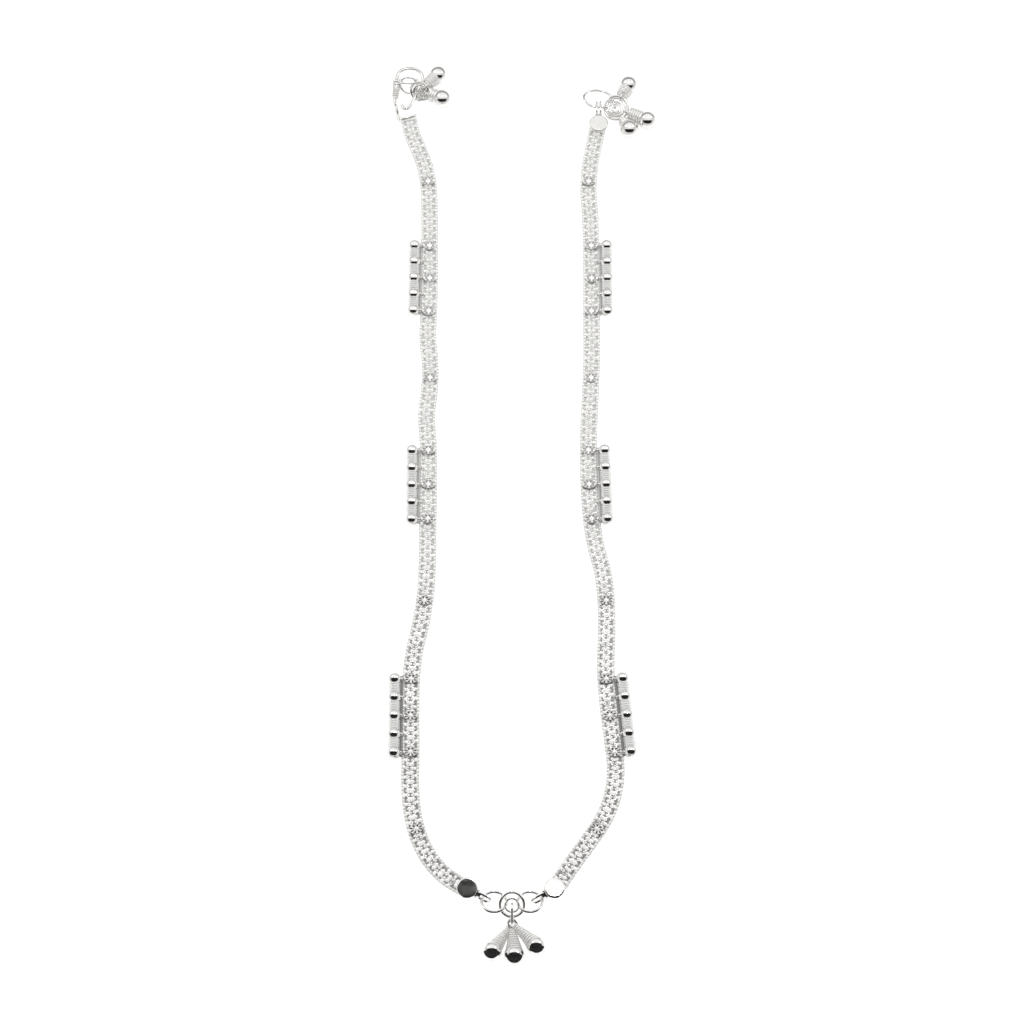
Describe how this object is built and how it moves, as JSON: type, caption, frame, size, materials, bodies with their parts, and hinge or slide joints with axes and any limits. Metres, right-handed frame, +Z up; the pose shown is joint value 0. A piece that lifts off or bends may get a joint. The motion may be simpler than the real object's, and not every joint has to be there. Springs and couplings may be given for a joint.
{
  "type": "payal anklet",
  "caption": "Silver payal anklet laid open in a U: flat chain bands edged with rows of small bells, joined by wire rings, with a hook and ring clasp and bell drops.",
  "frame": {"origin": "centre of the anklet's bounding box, on the surface that it lies on", "axes": "+X to the right across the bands, +Y along the bands from the joined end to the clasp, +Z up"},
  "size_m": [0.0418, 0.1436, 0.003],
  "materials": {
    "chain_silver": "bright diamond-cut silver chain",
    "bright_silver": "mirror-polished silver"
  },
  "bodies": {
    "root": {"band_left": "chain_silver", "band_right": "chain_silver", "bell_row_left_top": "bright_silver", "bell_row_left_middle": "bright_silver", "bell_row_left_bottom": "bright_silver", "bell_row_right_top": "bright_silver", "bell_row_right_middle": "bright_silver", "bell_row_right_bottom": "bright_silver", "ring_left_centre": "bright_silver", "centre_ring": "bright_silver", "ring_right_centre": "bright_silver", "clasp_ring": "bright_silver", "jump_rings_right": "bright_silver", "jump_ring_left": "bright_silver", "cap_left_centre": "bright_silver", "cap_right_centre": "bright_silver", "cap_right_end": "bright_silver", "cap_left_end": "bright_silver", "drop_link": "bright_silver", "clasp_hook": "bright_silver", "centre_drop_left": "bright_silver", "centre_drop_middle": "bright_silver", "centre_drop_right": "bright_silver", "clasp_drop_right_upper": "bright_silver", "clasp_drop_right_outer": "bright_silver", "clasp_drop_right_lower": "bright_silver", "clasp_drop_left_upper": "bright_silver", "clasp_drop_left_lower": "bright_silver"}
  },
  "joints": []
}
